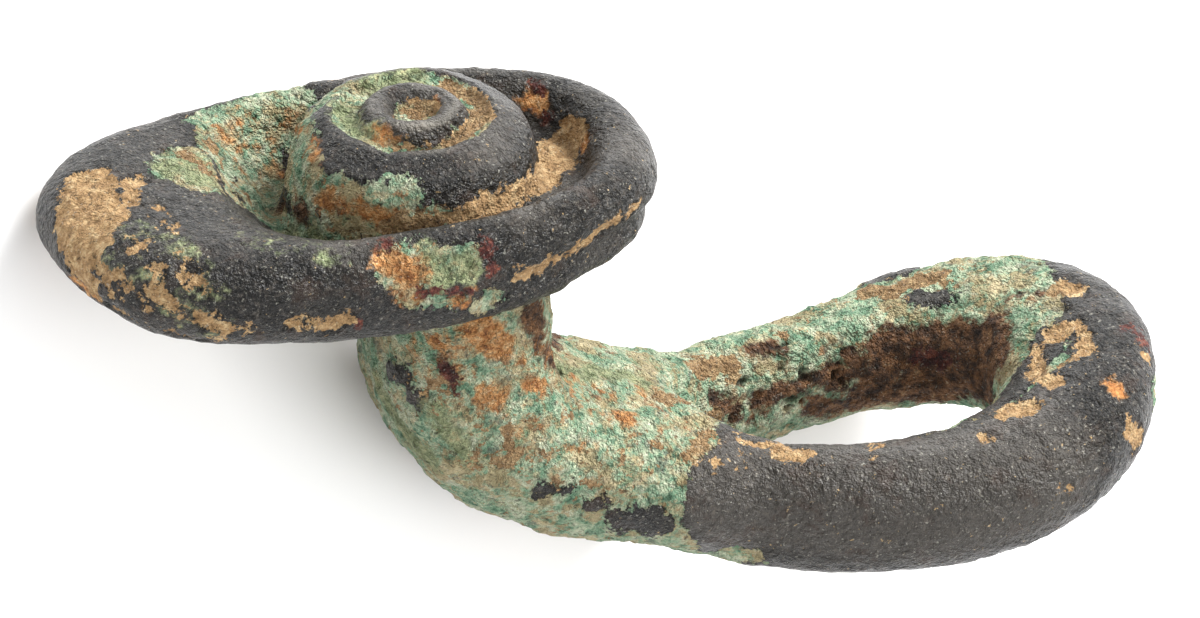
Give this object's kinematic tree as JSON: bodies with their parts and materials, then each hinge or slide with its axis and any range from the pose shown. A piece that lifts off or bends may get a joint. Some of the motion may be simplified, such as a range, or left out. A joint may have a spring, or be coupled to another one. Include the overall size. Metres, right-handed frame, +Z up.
{
  "type": "button and loop fastener",
  "caption": "Cast button and loop fastener: an oval dished button with a ringed boss, on a neck that bends over into a flat drop-shaped loop.",
  "frame": {"origin": "bottom centre of the bounding box, on the surface that the fastener lies on", "axes": "the fastener lies on its side: +X along its length, level, towards the loop's end, +Z up, +Y the way that the button's face leans"},
  "size_m": [0.0504, 0.025, 0.018],
  "materials": {
    "patinated_bronze": "corroded, black and green patina"
  },
  "bodies": {
    "root": {"fastener_casting": "patinated_bronze"}
  },
  "joints": []
}
